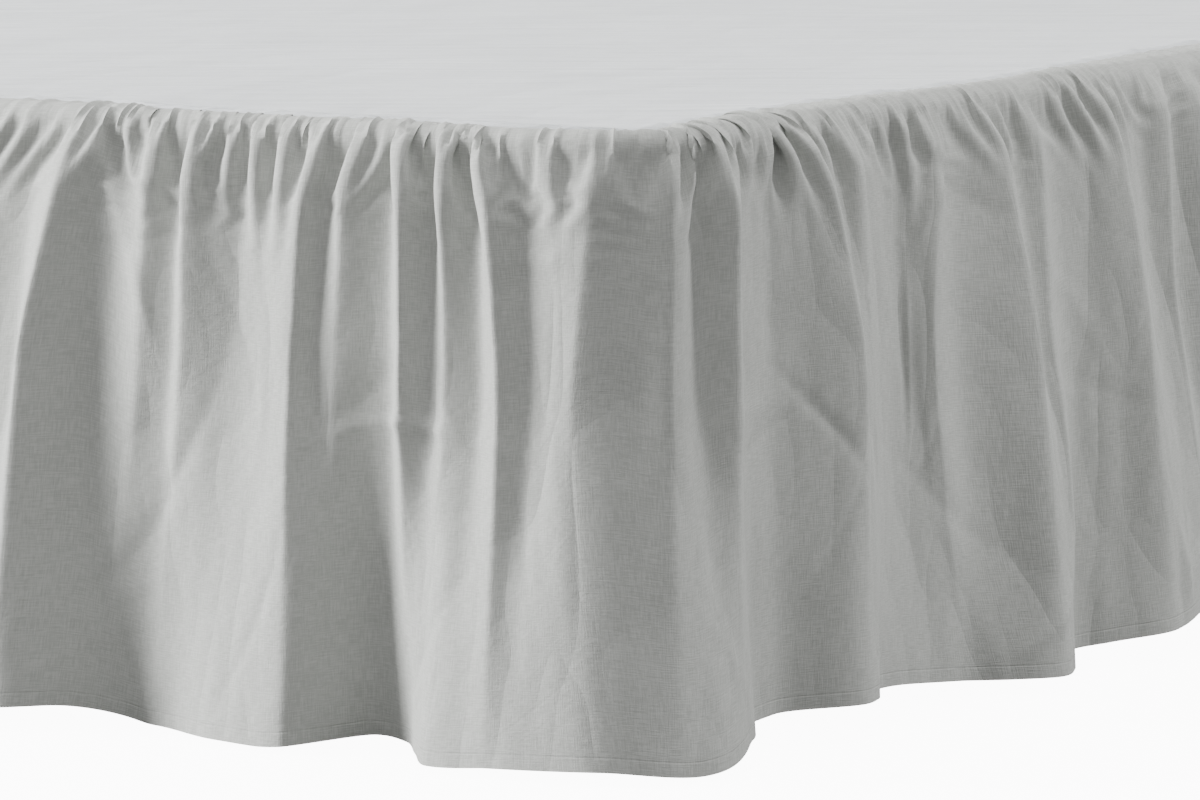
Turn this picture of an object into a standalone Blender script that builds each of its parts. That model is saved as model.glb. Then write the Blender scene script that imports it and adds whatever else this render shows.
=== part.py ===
"""Gathered bed skirt on a plain bed base.

The skirt is what a maker sews: a thin flat panel that covers the top of the base, and a gathered
ruffle of seven cloth widths, joined end to end and sewn round the panel's two long sides and its
foot end. The head end stays open. Metres, +Z up, X across the bed, the foot end at -Y.
"""
import math

import bmesh
import bpy

# Bed base
BASE_WIDTH = 1.60           # across the bed
BASE_LENGTH = 2.00          # head to foot
BASE_TOP = 0.5335           # height of the base's top face
LEG_HEIGHT = 0.17
LEG_RADIUS = 0.03
LEG_INSET = 0.10            # leg's axis in from the base's sides
CORNER_RADIUS = 0.10        # the base's upright corners
EDGE_RADIUS = 0.015         # the base's top edge
BASE_BACK = 0.055           # the base sits back, so that skirt and base together centre on the origin

# Cloth
THICKNESS = 0.0012
GAP = 0.0003                # between pieces that touch
SEAM_GAP = 0.0005           # between the ruffle's gathered edge and the panel
EDGE_CLEARANCE = 0.0045     # from the base to the middle of the cloth, past the seam
HEM_HEIGHT = 0.014          # hem above the floor
SEAM_INSET_FOOT = 0.020     # seam in from the base's side, at the foot
SEAM_INSET_SIDE = 0.036     # the same, along the long sides
SEAM_WANDER = 0.004         # how far the seam strays from its line
SEAM_STANDS = 0.001         # how far folds stand out where the cloth leaves the seam
PUCKER_HEIGHT = 0.003       # half the height of the small gathers under the seam
PUCKER_FULL = 0.05          # fraction of the drop where they are highest
PUCKER_FADE = 0.45          # fraction of the drop over which they then run out
EDGE_SHARE = 0.04           # fraction of the drop that lies over the base's top edge
WIDTH_SPAN = 0.92           # stretch of seam that one cloth width is gathered on
COLUMN_PITCH = 0.0195       # spacing of the cloth's columns along the seam
UNEVEN_SHIFT = 0.012        # how far folds of the left half differ in place from the right half's
UNEVEN_GROWTH = 0.16        # the same, in how far they stand out

CORNER_STEPS = 8            # facets round an upright corner of the base
EDGE_STEPS = 3              # facets over its top edge
LEG_SIDES = 24

PANEL_BOTTOM = BASE_TOP + GAP
CLOTH_LEVEL = PANEL_BOTTOM + THICKNESS / 2
FOOT_HALF = BASE_WIDTH / 2 - CORNER_RADIUS
CORNER_ARC = CORNER_RADIUS * math.pi / 2
SIDE_LENGTH = BASE_LENGTH - CORNER_RADIUS
HALF_PATH = FOOT_HALF + CORNER_ARC + SIDE_LENGTH
MID_HEIGHT = 0.45           # the fraction of the drop where the folds' middle places are given

# Sideways waves along the seam, as a gathered edge has: turn for each metre, start and strength
SEAM_WAVES = (
    # turn, start, strength
    (31.0, 0.0, 1.0),
    (53.0, 1.0, 0.6),
)
PUCKER_WAVES = (
    # turn, start, strength
    (97.0, 0.0, 1.0),
    (61.0, 2.0, 0.7),
)

# Folds, from the middle of the foot end round to the head end, one row each. seam, middle and hem
# are places along the path; stands_mid and stands_hem are how far the fold stands out there.
FOLDS = (
    # seam, middle, hem, stands_mid, stands_hem
    (0.000, 0.000, 0.000, 0.030, 0.070),
    (0.110, 0.105, 0.100, 0.008, 0.012),
    (0.245, 0.200, 0.190, 0.050, 0.085),
    (0.275, 0.242, 0.285, 0.008, 0.010),
    (0.445, 0.462, 0.470, 0.036, 0.073),
    (0.530, 0.540, 0.530, 0.005, 0.005),
    (0.565, 0.574, 0.635, 0.030, 0.095),
    (0.650, 0.680, 0.710, 0.020, 0.106),
    (0.800, 0.795, 0.760, 0.040, 0.124),
    (0.850, 0.860, 0.822, 0.048, 0.080),
    (0.930, 0.940, 0.910, 0.006, 0.012),
    (0.980, 1.030, 1.010, 0.044, 0.062),
    (1.140, 1.160, 1.195, 0.004, 0.005),
    (1.300, 1.350, 1.370, 0.046, 0.058),
    (1.425, 1.480, 1.485, 0.004, 0.005),
    (1.500, 1.560, 1.590, 0.042, 0.052),
    (1.720, 1.750, 1.790, 0.006, 0.010),
    (1.835, 1.850, 1.875, 0.036, 0.070),
    (1.970, 1.985, 2.000, 0.005, 0.008),
    (2.100, 2.115, 2.120, 0.042, 0.084),
    (2.225, 2.240, 2.250, 0.004, 0.008),
    (2.360, 2.370, 2.385, 0.034, 0.064),
    (2.490, 2.490, 2.500, 0.004, 0.008),
    (2.630, 2.620, 2.625, 0.036, 0.072),
    (2.757, 2.757, 2.757, 0.010, 0.016),
)

# Rows of the cloth from seam to hem: the stretch it lies on and how far along that stretch
LEVELS = (
    # stretch, share
    ("top", 0.0),
    ("edge", 0.15),
    ("edge", 0.60),
    ("edge", 1.0),
    ("side", 0.16),
    ("side", 0.50),
    ("side", 1.0),
)

COLOURS = {
    # finish: (red, green, blue, roughness)
    "skirt_cloth": (0.46, 0.47, 0.455, 0.9),
    "panel_cloth": (0.62, 0.645, 0.65, 0.85),
    "base_cover": (0.72, 0.70, 0.66, 0.8),
    "leg_wood": (0.50, 0.36, 0.22, 0.55),
}


def clear_scene():
    for item in list(bpy.data.objects):
        bpy.data.objects.remove(item)


def make_collection(name):
    collection = bpy.data.collections.new(name)
    bpy.context.scene.collection.children.link(collection)
    return collection


def make_material(name):
    red, green, blue, roughness = COLOURS[name]
    material = bpy.data.materials.new(name)
    material.use_nodes = True
    shader = material.node_tree.nodes["Principled BSDF"]
    shader.inputs["Base Color"].default_value = (red, green, blue, 1.0)
    shader.inputs["Roughness"].default_value = roughness
    shader.inputs["Metallic"].default_value = 0.0
    return material


def add_object(name, shape, collection, material):
    mesh = bpy.data.meshes.new(name)
    shape.to_mesh(mesh)
    shape.free()
    mesh.materials.append(material)
    item = bpy.data.objects.new(name, mesh)
    collection.objects.link(item)
    return item


def outline(place):
    """Point and outward direction on the base's side, place metres along from the foot's middle."""
    side = math.copysign(1.0, place)
    along = abs(place)
    foot_y = BASE_BACK - BASE_LENGTH / 2
    if along <= FOOT_HALF:
        return place, foot_y, 0.0, -1.0
    if along <= FOOT_HALF + CORNER_ARC:
        turn = (along - FOOT_HALF) / CORNER_RADIUS
        out_x = math.sin(turn) * side
        out_y = -math.cos(turn)
        x = FOOT_HALF * side + CORNER_RADIUS * out_x
        return x, foot_y + CORNER_RADIUS * (1.0 + out_y), out_x, out_y
    down_side = along - FOOT_HALF - CORNER_ARC
    return side * BASE_WIDTH / 2, foot_y + CORNER_RADIUS + down_side, side, 0.0


def smooth_step(share):
    share = min(max(share, 0.0), 1.0)
    return share * share * (3.0 - 2.0 * share)


def wave_height(place, waves):
    """Height of a few waves added up, from -1 to 1."""
    total = sum(strength * math.sin(place * turn + start) for turn, start, strength in waves)
    return total / sum(strength for turn, start, strength in waves)


def seam_inset(place):
    """How far the seam lies in from the base's side; it wanders, as a gathered edge does."""
    along = abs(place)
    turned = smooth_step((along - FOOT_HALF) / CORNER_ARC)
    line = SEAM_INSET_FOOT + (SEAM_INSET_SIDE - SEAM_INSET_FOOT) * turned
    return line + SEAM_WANDER * wave_height(place, SEAM_WAVES)


def bend(share, first, middle, last):
    """A smooth run from first to last that passes middle at MID_HEIGHT, quickest under the seam."""
    if share <= MID_HEIGHT:
        return first + (middle - first) * math.sin(share / MID_HEIGHT * math.pi / 2)
    return middle + (last - middle) * (share - MID_HEIGHT) / (1.0 - MID_HEIGHT)


def all_folds():
    """The folds of both halves, in order; the unseen half is the other's mirror, made uneven."""
    right = [dict(zip(("seam", "middle", "hem", "stands_mid", "stands_hem"), row)) for row in FOLDS]
    left = []
    for number, fold in enumerate(right[1:], start=1):
        shift = UNEVEN_SHIFT * math.sin(1.7 * number)
        growth = 1.0 + UNEVEN_GROWTH * math.sin(2.4 * number)
        if number == len(right) - 1:
            shift = 0.0
        left.append({
            "seam": -fold["seam"] + shift,
            "middle": -fold["middle"] + shift,
            "hem": -fold["hem"] + shift,
            "stands_mid": fold["stands_mid"] * growth,
            "stands_hem": fold["stands_hem"] * growth,
        })
    return left[::-1] + right


ALL_FOLDS = all_folds()


def fold_depth(place, share):
    """How far the main folds stand out, place along the path and share of the way down."""
    before = None
    for fold in ALL_FOLDS:
        where = bend(share, fold["seam"], fold["middle"], fold["hem"])
        stands = bend(share, SEAM_STANDS, fold["stands_mid"], fold["stands_hem"])
        if where >= place:
            if before is None:
                return stands
            last_where, last_stands = before
            step = smooth_step((place - last_where) / (where - last_where))
            return last_stands + (stands - last_stands) * step
        before = (where, stands)
    return before[1]


def pucker_depth(place, share):
    """Small gathers under the seam, which run out down the cloth."""
    strength = smooth_step(share / PUCKER_FULL) * (1.0 - smooth_step((share - PUCKER_FULL) / PUCKER_FADE))
    return PUCKER_HEIGHT * strength * (wave_height(place, PUCKER_WAVES) + 1.0)


def hang(place, stretch, amount):
    """The point of the cloth's middle surface at a place along the path and on one stretch."""
    x, y, out_x, out_y = outline(place)
    reach = EDGE_RADIUS + EDGE_CLEARANCE
    inset = seam_inset(place) - SEAM_GAP
    drop = BASE_TOP - EDGE_RADIUS - HEM_HEIGHT
    if stretch == "top":
        out = -inset
        return x + out_x * out, y + out_y * out, CLOTH_LEVEL
    if stretch == "edge":
        share = EDGE_SHARE * amount
        angle = amount * math.pi / 2
        down = 0.0
    else:
        share = EDGE_SHARE + (1.0 - EDGE_SHARE) * amount
        angle = math.pi / 2
        down = drop * amount
    stands = fold_depth(place, share) + pucker_depth(place, share)
    out = -EDGE_RADIUS + (reach + stands) * math.sin(angle)
    z = BASE_TOP - EDGE_RADIUS + (reach + stands) * math.cos(angle) - down
    return x + out_x * out, y + out_y * out, z


def columns(first, last):
    """Evenly spaced places from first to last."""
    count = max(2, round((last - first) / COLUMN_PITCH))
    return [first + (last - first) * number / count for number in range(count + 1)]


def width_spans():
    """First and last place of each cloth width, left head end to right head end."""
    inner = WIDTH_SPAN / 2
    joins = [inner, inner + WIDTH_SPAN, inner + 2 * WIDTH_SPAN]
    places = [-HALF_PATH] + [-join for join in reversed(joins)] + joins + [HALF_PATH]
    return list(zip(places[:-1], places[1:]))


def make_base(collection, material):
    """A plain box with round upright corners and a soft top edge."""
    shape = bmesh.new()
    bmesh.ops.create_cube(shape, size=1.0)
    height = BASE_TOP - LEG_HEIGHT
    bmesh.ops.scale(shape, vec=(BASE_WIDTH, BASE_LENGTH, height), verts=shape.verts)
    bmesh.ops.translate(shape, vec=(0.0, BASE_BACK, LEG_HEIGHT + height / 2), verts=shape.verts)
    upright = [
        edge for edge in shape.edges
        if abs(edge.verts[0].co.z - edge.verts[1].co.z) > height / 2
        and edge.verts[0].co.y < BASE_BACK
    ]
    bmesh.ops.bevel(
        shape, geom=upright, offset=CORNER_RADIUS, segments=CORNER_STEPS, profile=0.5, affect="EDGES"
    )
    rim = [
        edge for edge in shape.edges
        if min(vert.co.z for vert in edge.verts) > BASE_TOP - GAP
    ]
    bmesh.ops.bevel(
        shape, geom=rim, offset=EDGE_RADIUS, segments=EDGE_STEPS, profile=0.5, affect="EDGES"
    )
    return add_object("bed_base", shape, collection, material)


def make_leg(name, x, y, collection, material):
    shape = bmesh.new()
    bmesh.ops.create_cone(
        shape, cap_ends=True, segments=LEG_SIDES,
        radius1=LEG_RADIUS, radius2=LEG_RADIUS, depth=LEG_HEIGHT - GAP
    )
    leg = add_object(name, shape, collection, material)
    leg.location = (x, y, (LEG_HEIGHT - GAP) / 2)
    for face in leg.data.polygons:
        face.use_smooth = len(face.vertices) == 4
    return leg


def make_legs(collection, material):
    across = BASE_WIDTH / 2 - LEG_INSET
    along = BASE_LENGTH / 2 - LEG_INSET
    rows = (("foot", -along), ("middle", 0.0), ("head", along))
    for row, y in rows:
        make_leg("leg_" + row + "_left", -across, BASE_BACK + y, collection, material)
        make_leg("leg_" + row + "_right", across, BASE_BACK + y, collection, material)


def make_panel(collection, material):
    """The flat top panel: one face inside the seam line, given its thickness upwards."""
    shape = bmesh.new()
    edge = []
    for first, last in width_spans():
        for place in columns(first, last)[:-1]:
            edge.append(place)
    edge.append(HALF_PATH)
    corners = []
    for place in edge:
        x, y, out_x, out_y = outline(place)
        inset = seam_inset(place)
        corners.append(shape.verts.new((x - out_x * inset, y - out_y * inset, PANEL_BOTTOM)))
    face = shape.faces.new(corners)
    if face.normal.z < 0.0:
        face.normal_flip()
    grown = bmesh.ops.extrude_face_region(shape, geom=[face])
    top = [item for item in grown["geom"] if isinstance(item, bmesh.types.BMVert)]
    bmesh.ops.translate(shape, vec=(0.0, 0.0, THICKNESS), verts=top)
    bmesh.ops.recalc_face_normals(shape, faces=shape.faces)
    return add_object("top_panel", shape, collection, material)


def make_width(name, first, last, collection, material):
    """One cloth width: a flat grid, each point moved to where it hangs, then given its thickness."""
    places = columns(first + GAP, last - GAP)
    shape = bmesh.new()
    bmesh.ops.create_grid(
        shape, x_segments=len(places) - 1, y_segments=len(LEVELS) - 1, size=0.5
    )
    for vert in shape.verts:
        column = round((vert.co.x + 0.5) * (len(places) - 1))
        level = round((0.5 - vert.co.y) * (len(LEVELS) - 1))
        vert.co = hang(places[column], *LEVELS[level])
    bmesh.ops.triangulate(shape, faces=shape.faces)
    item = add_object(name, shape, collection, material)
    for face in item.data.polygons:
        face.use_smooth = True
    wall = item.modifiers.new("thickness", "SOLIDIFY")
    wall.thickness = THICKNESS
    wall.offset = 0.0
    return item


def make_ruffle(collection, material):
    names = (
        "ruffle_left_head", "ruffle_left_side", "ruffle_left_corner", "ruffle_foot",
        "ruffle_right_corner", "ruffle_right_side", "ruffle_right_head",
    )
    for name, (first, last) in zip(names, width_spans()):
        make_width(name, first, last, collection, material)


def main():
    clear_scene()
    collection = make_collection("bed_skirt")
    materials = {name: make_material(name) for name in COLOURS}
    make_base(collection, materials["base_cover"])
    make_legs(collection, materials["leg_wood"])
    make_panel(collection, materials["panel_cloth"])
    make_ruffle(collection, materials["skirt_cloth"])


main()
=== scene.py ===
# %% [markdown]
# # A gathered bed skirt
# A bed skirt is two things sewn together: a thin flat panel, which lies under the mattress, and a long
# gathered ruffle, which hangs to the floor. This lesson builds the cloth round a fixed frame: a plain
# bed base on legs, which stays as it is, and plain cloth solids, which the finished cloth replaces.

import bpy
import numpy as np
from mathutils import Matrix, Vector


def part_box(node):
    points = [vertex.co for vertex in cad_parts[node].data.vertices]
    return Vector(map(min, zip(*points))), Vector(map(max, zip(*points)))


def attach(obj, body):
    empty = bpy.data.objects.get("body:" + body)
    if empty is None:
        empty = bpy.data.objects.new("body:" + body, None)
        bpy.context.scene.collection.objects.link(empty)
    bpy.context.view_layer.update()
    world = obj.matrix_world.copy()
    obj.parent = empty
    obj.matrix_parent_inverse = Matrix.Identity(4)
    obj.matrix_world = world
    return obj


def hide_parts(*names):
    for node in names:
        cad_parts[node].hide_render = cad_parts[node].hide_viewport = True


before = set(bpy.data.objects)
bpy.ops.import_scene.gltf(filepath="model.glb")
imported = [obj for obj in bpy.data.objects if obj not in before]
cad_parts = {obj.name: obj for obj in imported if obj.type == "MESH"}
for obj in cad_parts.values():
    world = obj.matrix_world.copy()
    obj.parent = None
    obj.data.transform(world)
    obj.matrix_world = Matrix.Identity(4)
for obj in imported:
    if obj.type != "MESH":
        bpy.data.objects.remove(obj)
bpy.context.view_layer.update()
print("frame holds", len(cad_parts), "nodes")

# %% [markdown]
# ## Helpers
# Every piece starts from a clean slate: nothing selected. Node trees are easier to read when a node
# and its settings are made in one line.

# %% Helpers for objects and nodes


def select_only(*items):
    """Deselects all, then selects the given objects; the first one is active."""
    bpy.ops.object.select_all(action="DESELECT")
    for item in items:
        item.select_set(True)
    bpy.context.view_layer.objects.active = items[0]


def apply_modifiers(item):
    select_only(item)
    for modifier in list(item.modifiers):
        bpy.ops.object.modifier_apply(modifier=modifier.name)


def new_material(name):
    material = bpy.data.materials.new(name)
    material.use_nodes = True
    tree = material.node_tree
    return material, tree, tree.nodes["Principled BSDF"]


def add_node(tree, kind, **settings):
    """A node with its properties and unlinked inputs set by name."""
    node = tree.nodes.new(kind)
    for name, value in settings.items():
        if hasattr(node, name):
            setattr(node, name, value)
        else:
            node.inputs[name.replace("_", " ")].default_value = value
    return node


# %% [markdown]
# ## The size of the base
# All places come from the frame: the base's box gives the sides that the ruffle hangs over, and the
# panel's box gives the height at which the ruffle is sewn on. Round corners are 100 mm.

# %% Sizes taken from the frame
base_low, base_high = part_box("bed_base")
panel_low, panel_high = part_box("top_panel")
HALF_WIDTH = base_high.x
FOOT_Y = base_low.y
HEAD_Y = base_high.y
BASE_TOP = base_high.z
SEAM_LEVEL = (panel_low.z + panel_high.z) / 2
CORNER_RADIUS = 0.10
EDGE_RADIUS = 0.015
FOOT_HALF = HALF_WIDTH - CORNER_RADIUS
CORNER_ARC = CORNER_RADIUS * np.pi / 2
HALF_PATH = FOOT_HALF + CORNER_ARC + (HEAD_Y - FOOT_Y - CORNER_RADIUS)
print("the ruffle follows a path of %.2f m round three sides" % (2 * HALF_PATH))

# %% [markdown]
# ## The path round the base
# A place on the ruffle is a distance along the base's side, counted from the middle of the foot. The
# path turns each corner on an arc. The seam lies in from the side, and a gathered seam never runs
# quite straight, so its distance from the side is a short table that is read with a smooth curve.

# %% The path and the seam line
SEAM_LINE = (
    # place, inset
    (-2.757, 0.036),
    (-2.30, 0.044),
    (-1.90, 0.034),
    (-1.40, 0.042),
    (-0.86, 0.032),
    (-0.55, 0.020),
    (-0.20, 0.026),
    (0.00, 0.020),
    (0.23, 0.035),
    (0.31, 0.018),
    (0.45, 0.018),
    (0.54, 0.025),
    (0.64, 0.018),
    (0.75, 0.025),
    (0.79, 0.018),
    (0.84, 0.035),
    (1.03, 0.045),
    (1.36, 0.026),
    (1.75, 0.050),
    (2.05, 0.038),
    (2.40, 0.046),
    (2.757, 0.036),
)


def smooth_step(share):
    share = np.clip(share, 0.0, 1.0)
    return share * share * (3.0 - 2.0 * share)


def read_table(places, rows):
    """Reads (place, value) rows at any places, on a smooth curve that never overshoots a row."""
    where, value = np.asarray(rows, dtype=float).T
    span = np.diff(where)
    rise = np.diff(value) / span
    slope = np.zeros_like(value)
    same_way = rise[:-1] * rise[1:] > 0
    shared = 2.0 * rise[:-1] * rise[1:] / np.where(same_way, rise[:-1] + rise[1:], 1.0)
    slope[1:-1] = np.where(same_way, shared, 0.0)
    at = np.clip(np.searchsorted(where, places, side="right") - 1, 0, len(span) - 1)
    t = np.clip((places - where[at]) / span[at], 0.0, 1.0)
    bow = t * (1.0 - t) * span[at]
    ease = smooth_step(t)
    start = value[at] + (value[at + 1] - value[at]) * ease
    return start + bow * ((1.0 - t) * slope[at] - t * slope[at + 1])


def outline(places):
    """Points on the base's side and the directions out of it, as two arrays of (x, y)."""
    side = np.sign(places)
    along = np.abs(places)
    turn = np.clip((along - FOOT_HALF) / CORNER_RADIUS, 0.0, np.pi / 2)
    out = np.stack([side * np.sin(turn), -np.cos(turn)], axis=-1)
    beyond = np.clip(along - FOOT_HALF - CORNER_ARC, 0.0, None)
    x = side * (np.minimum(along, FOOT_HALF) + CORNER_RADIUS * np.sin(turn))
    y = FOOT_Y + CORNER_RADIUS * (1.0 - np.cos(turn)) + beyond
    return np.stack([x, y], axis=-1), out


print("each corner's arc starts %.2f m along the path and is %.3f m long" % (FOOT_HALF, CORNER_ARC))

# %% [markdown]
# ## The folds
# Gathered cloth hangs in large flutes at the hem. Upwards each flute splits into smaller ones, which
# run into the gathers at the seam, and few hang plumb. The hem's own line is one short table. A fold is
# a row with its place at the seam and at mid-height, and how far it stands out high up and at
# mid-height. The main folds also say where they reach the hem; the others end between them. Crests and
# hollows take turns, and the cloth eases from each to the next.

# %% The hem and the folds that the maker arranged
HEM_LINE = (
    # place, stands out
    (0.000, 0.070),
    (0.100, 0.010),
    (0.190, 0.085),
    (0.290, 0.005),
    (0.400, 0.055),
    (0.480, 0.075),
    (0.530, 0.000),
    (0.570, 0.015),
    (0.600, 0.050),
    (0.640, 0.095),
    (0.700, 0.105),
    (0.760, 0.125),
    (0.800, 0.105),
    (0.840, 0.055),
    (0.900, 0.015),
    (0.930, 0.015),
    (1.010, 0.062),
    (1.040, 0.055),
    (1.110, 0.015),
    (1.200, 0.000),
    (1.270, 0.005),
    (1.320, 0.032),
    (1.370, 0.058),
    (1.410, 0.045),
    (1.485, 0.000),
    (1.525, 0.018),
    (1.590, 0.050),
    (1.680, 0.030),
    (1.800, 0.005),
    (1.875, 0.070),
    (2.000, 0.005),
    (2.120, 0.085),
    (2.250, 0.005),
    (2.385, 0.065),
    (2.500, 0.005),
    (2.625, 0.072),
    (2.757, 0.015),
)
BETWEEN = None              # a fold with no hem place of its own
FOLDS = (
    # seam, middle, hem, stands_high, stands_mid
    (0.000, 0.000, 0.000, 0.016, 0.030),
    (0.075, 0.070, BETWEEN, 0.003, 0.005),
    (0.125, 0.105, BETWEEN, 0.014, 0.016),
    (0.200, 0.165, BETWEEN, 0.004, 0.006),
    (0.245, 0.195, 0.190, 0.024, 0.052),
    (0.285, 0.255, BETWEEN, 0.004, 0.007),
    (0.310, 0.300, BETWEEN, 0.014, 0.020),
    (0.335, 0.330, BETWEEN, 0.003, 0.014),
    (0.350, 0.345, BETWEEN, 0.020, 0.022),
    (0.395, 0.400, BETWEEN, 0.005, 0.010),
    (0.470, 0.465, 0.480, 0.020, 0.038),
    (0.490, 0.485, BETWEEN, 0.008, 0.022),
    (0.510, 0.500, BETWEEN, 0.016, 0.020),
    (0.545, 0.545, 0.540, 0.003, 0.004),
    (0.565, 0.575, BETWEEN, 0.024, 0.040),
    (0.585, 0.600, BETWEEN, 0.006, 0.022),
    (0.600, 0.615, BETWEEN, 0.016, 0.026),
    (0.620, 0.645, BETWEEN, 0.005, 0.016),
    (0.640, 0.675, 0.700, 0.022, 0.040),
    (0.670, 0.700, BETWEEN, 0.004, 0.022),
    (0.745, 0.730, BETWEEN, 0.014, 0.034),
    (0.780, 0.765, BETWEEN, 0.008, 0.030),
    (0.805, 0.790, 0.780, 0.018, 0.042),
    (0.835, 0.820, BETWEEN, 0.003, 0.016),
    (0.855, 0.845, 0.825, 0.026, 0.036),
    (0.885, 0.875, BETWEEN, 0.008, 0.016),
    (0.930, 0.940, 0.905, 0.003, 0.005),
    (0.985, 1.030, 1.010, 0.022, 0.050),
    (1.030, 1.050, BETWEEN, 0.008, 0.038),
    (1.065, 1.065, BETWEEN, 0.020, 0.034),
    (1.145, 1.160, 1.190, 0.003, 0.004),
    (1.220, 1.190, BETWEEN, 0.020, 0.024),
    (1.255, 1.260, BETWEEN, 0.004, 0.008),
    (1.300, 1.350, 1.370, 0.022, 0.043),
    (1.365, 1.370, BETWEEN, 0.004, 0.028),
    (1.390, 1.385, BETWEEN, 0.020, 0.034),
    (1.420, 1.470, 1.490, 0.003, 0.004),
    (1.500, 1.555, 1.590, 0.020, 0.040),
    (1.585, 1.600, BETWEEN, 0.005, 0.020),
    (1.620, 1.625, BETWEEN, 0.020, 0.028),
    (1.655, 1.660, BETWEEN, 0.005, 0.008),
    (1.685, 1.695, BETWEEN, 0.020, 0.028),
    (1.730, 1.760, 1.800, 0.003, 0.005),
    (1.800, 1.815, BETWEEN, 0.020, 0.036),
    (1.835, 1.850, 1.870, 0.008, 0.028),
    (1.870, 1.870, BETWEEN, 0.020, 0.032),
    (1.970, 1.985, 2.000, 0.003, 0.004),
    (2.010, 2.020, BETWEEN, 0.016, 0.014),
    (2.045, 2.050, BETWEEN, 0.004, 0.012),
    (2.095, 2.110, 2.120, 0.024, 0.050),
    (2.225, 2.240, 2.250, 0.003, 0.004),
    (2.290, 2.300, BETWEEN, 0.016, 0.020),
    (2.330, 2.330, BETWEEN, 0.004, 0.018),
    (2.360, 2.370, 2.385, 0.022, 0.040),
    (2.490, 2.490, 2.500, 0.003, 0.004),
    (2.560, 2.555, BETWEEN, 0.018, 0.016),
    (2.590, 2.585, BETWEEN, 0.006, 0.020),
    (2.630, 2.620, 2.625, 0.022, 0.042),
    (2.757, 2.757, 2.757, 0.008, 0.010),
)


def uneven(number):
    """How the unseen half differs from the other at a given fold: a shift and a growth."""
    return 0.010 * np.sin(0.57 * number), 1.0 + 0.14 * np.sin(1.2 * number)


def mirror_hem():
    rows = []
    for number, (place, stands) in enumerate(HEM_LINE[1:-1], start=1):
        shift, growth = uneven(number * 1.5)
        rows.append((-place + shift, stands * growth))
    rows.append((-HEM_LINE[-1][0], HEM_LINE[-1][1]))
    return np.array(rows[::-1] + list(HEM_LINE))


def mirror_folds():
    rows = []
    for number, (seam, middle, hem, high, mid) in enumerate(FOLDS[1:-1], start=1):
        shift, growth = uneven(number)
        hem = np.nan if hem is BETWEEN else -hem + shift
        rows.append((-seam + shift, -middle + shift, hem, high * growth, mid * growth))
    seam, middle, hem, high, mid = FOLDS[-1]
    rows.append((-seam, -middle, -hem, high, mid))
    right = [tuple(np.nan if value is BETWEEN else value for value in row) for row in FOLDS]
    return np.array(rows[::-1] + right)


HEM = mirror_hem()
ALL_FOLDS = mirror_folds()
print(len(ALL_FOLDS), "crests and hollows round the bed")

# %% [markdown]
# ## Where each fold meets the hem
# The hem is longer than the path it follows, most of all round a corner. A fold with no hem place of
# its own takes its share of the hem's length, so that no stretch of cloth is crowded.

# %% Hem places of the small folds
DROP = 0.547                # cut height of the ruffle, seam to hem edge
OFF_BASE = 0.0045           # how far the cloth's hollows stay off the base
ROLL = EDGE_RADIUS + OFF_BASE       # radius on which the cloth turns over the base's edge
DENSE = 9000                # places at which curves along the path are measured
dense_places = np.linspace(-HALF_PATH, HALF_PATH, DENSE)


def running_length(points):
    steps = np.linalg.norm(np.diff(points, axis=0), axis=1)
    return np.concatenate([[0.0], np.cumsum(steps)])


hem_xy, hem_out = outline(dense_places)
hem_curve = hem_xy + hem_out * (OFF_BASE + read_table(dense_places, HEM))[:, None]
hem_length = running_length(hem_curve)
anchored = ~np.isnan(ALL_FOLDS[:, 2])
anchor_length = np.interp(ALL_FOLDS[anchored, 2], dense_places, hem_length)
fold_length = np.interp(ALL_FOLDS[:, 0], ALL_FOLDS[anchored, 0], anchor_length)
ALL_FOLDS[:, 2] = np.interp(fold_length, hem_length, dense_places)
for first, last in zip(np.flatnonzero(anchored)[:-1], np.flatnonzero(anchored)[1:]):
    ratio = (fold_length[last] - fold_length[first]) / (ALL_FOLDS[last, 0] - ALL_FOLDS[first, 0])
    if 0 <= ALL_FOLDS[first, 0] < 1.8:
        print("seam %.3f to %.3f gathered %.2f" % (ALL_FOLDS[first, 0], ALL_FOLDS[last, 0], ratio))

# %% [markdown]
# ## The hanging shape
# A point of the cloth is found from its place along the path and its distance down from the seam: in
# from the edge, over the edge on a small arc, then straight down. The folds stand out from that.

# %% Points of the hanging cloth
HIGH = 0.12                 # shares of the drop where a fold's heights are given
MIDDLE = 0.45
SEAM_STANDS = 0.0015        # how far folds stand out at the seam itself
CREST_POWER = 1.7           # above 1, crests are drawn narrower than hollows
CREST_SHARE = 0.5           # how much of that narrower shape is taken
FOLDS_START = 0.006         # distances down from the seam: where the folds begin,
LIFTED_BY = 0.015           # where the cloth has left the panel,
RAISED_BY = 0.02            # and where folds on top of the base have their full height


def fold_places(share):
    """Where all folds lie along the path at a share of the way down."""
    seam, middle, hem = ALL_FOLDS[:, 0], ALL_FOLDS[:, 1], ALL_FOLDS[:, 2]
    if share < MIDDLE:
        near = share / MIDDLE
        return seam + (middle - seam) * (0.6 * near + 0.4 * np.sin(near * np.pi / 2))
    return middle + (hem - middle) * (share - MIDDLE) / (1.0 - MIDDLE)


def pointed(places, where, value, curve):
    """Draws crests to a narrower line than hollows: blends the smooth curve with a steeper one."""
    at = np.clip(np.searchsorted(where, places, side="right") - 1, 0, len(where) - 2)
    t = np.clip((places - where[at]) / (where[at + 1] - where[at]), 0.0, 1.0)
    start, end = value[at], value[at + 1]
    up = np.where(end > start, t, 1.0 - t)
    low, high = np.minimum(start, end), np.maximum(start, end)
    steep = low + (high - low) * up ** CREST_POWER
    return curve + (steep - curve) * CREST_SHARE


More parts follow.
